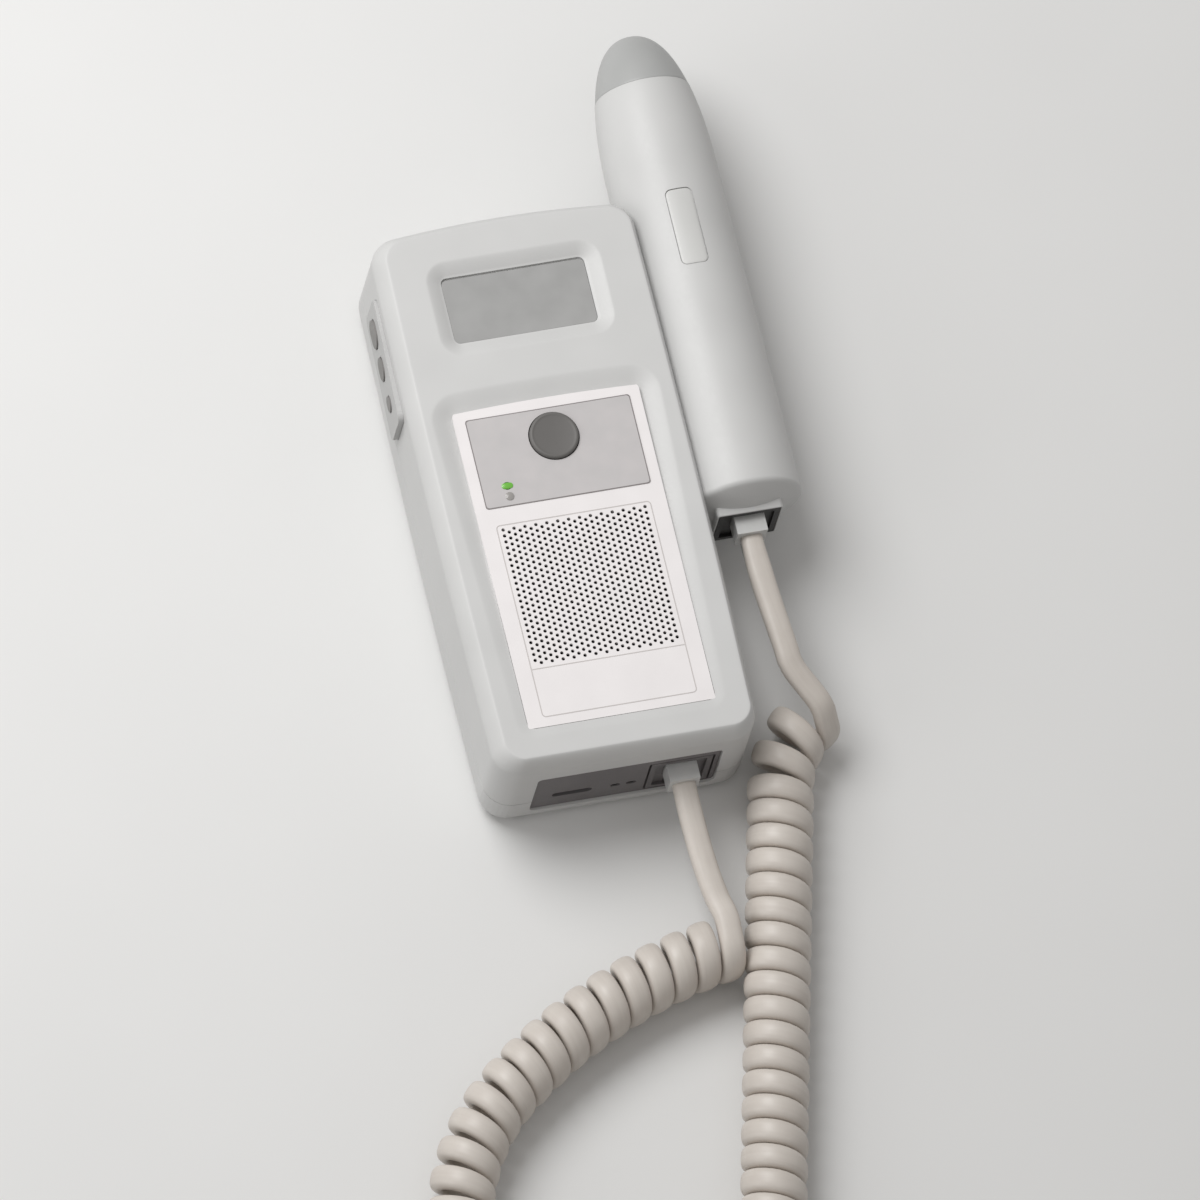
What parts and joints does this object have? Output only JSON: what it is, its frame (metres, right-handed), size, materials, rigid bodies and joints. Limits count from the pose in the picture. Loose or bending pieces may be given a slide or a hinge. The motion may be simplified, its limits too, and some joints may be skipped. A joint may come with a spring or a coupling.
{
  "type": "vascular doppler",
  "caption": "Handheld vascular doppler: flat unit with display, speaker grille and side keys, and a pencil probe in a side holder on a curly cord.",
  "frame": {"origin": "middle of the object's footprint, leaving out the cord and its plugs, on the plane that it lies on", "axes": "+Z out of the unit's face, +Y towards the probe's tip and the unit's display end, +X towards the probe"},
  "size_m": [0.1338, 0.3485, 0.0374],
  "materials": {
    "case_plastic": "fine satin",
    "cell_wrap": "shrink sleeve",
    "steel": "plated",
    "board": "solder mask",
    "window": "clear grey",
    "display": "grey panel",
    "face_plate": "white satin",
    "inset_film": "printed film",
    "key_rubber": "satin",
    "black_plastic": "satin",
    "light_lens": "clear lens",
    "cloth": "fine mesh",
    "pad_plastic": "satin",
    "port_plastic": "satin",
    "gold": "plated",
    "probe_plastic": "soft gloss",
    "cap_plastic": "satin",
    "badge_plastic": "satin",
    "mount_plastic": "cast resin",
    "crystal": "ceramic",
    "clear_plastic": "clear",
    "cord": "satin sleeve"
  },
  "bodies": {
    "unit": {"front_shell": "case_plastic", "rear_shell": "case_plastic", "battery_cells": "cell_wrap", "battery_contacts": "steel", "case_screws": "steel", "main_board": "board", "board_screws": "steel", "display_window": "window", "display_module": "display", "face_plate": "face_plate", "inset_film": "inset_film", "power_switch": "black_plastic", "status_lights": "light_lens", "speaker": "black_plastic", "speaker_cloth": "cloth", "side_key_pad": "pad_plastic", "side_key_board": "board", "port_plate": "port_plastic", "charge_socket": "steel", "charge_lights": "light_lens", "unit_jack": "black_plastic", "unit_jack_contacts": "gold", "probe_holder": "case_plastic", "holder_screws": "steel", "unit_plug": "clear_plastic", "unit_plug_contacts": "gold", "cord_lead_unit": "cord", "cord_coil": "cord", "cord_lead_probe": "cord"},
    "battery_door": {"battery_door": "case_plastic"},
    "power_button": {"power_button": "key_rubber"},
    "side_key_upper": {"side_key_upper": "key_rubber"},
    "side_key_middle": {"side_key_middle": "key_rubber"},
    "side_key_lower": {"side_key_lower": "key_rubber"},
    "probe": {"probe_front_shell": "probe_plastic", "probe_rear_shell": "probe_plastic", "probe_nose_cap": "cap_plastic", "probe_badge": "badge_plastic", "crystal_mount": "mount_plastic", "crystals": "crystal", "probe_board": "board", "probe_jack": "black_plastic", "probe_jack_contacts": "gold", "probe_plug": "clear_plastic", "probe_plug_contacts": "gold"}
  },
  "joints": [
    {"name": "probe_slide", "type": "slide", "parent": "unit", "child": "probe", "axis": [0, 1, 0], "range_m": [0, 0.045]},
    {"name": "battery_door_slide", "type": "slide", "parent": "unit", "child": "battery_door", "axis": [0, -1, 0], "range_m": [0, 0.012]},
    {"name": "power_button_press", "type": "slide", "parent": "unit", "child": "power_button", "axis": [0, 0, -1], "range_m": [0, 0.0008], "stiffness_N_per_m": 1000, "springref_m": -0.0003},
    {"name": "side_key_upper_press", "type": "slide", "parent": "unit", "child": "side_key_upper", "axis": [1, 0, 0], "range_m": [0, 0.0006], "stiffness_N_per_m": 1000, "springref_m": -0.0003},
    {"name": "side_key_middle_press", "type": "slide", "parent": "unit", "child": "side_key_middle", "axis": [1, 0, 0], "range_m": [0, 0.0006], "stiffness_N_per_m": 1000, "springref_m": -0.0003},
    {"name": "side_key_lower_press", "type": "slide", "parent": "unit", "child": "side_key_lower", "axis": [1, 0, 0], "range_m": [0, 0.0006], "stiffness_N_per_m": 1000, "springref_m": -0.0003}
  ]
}
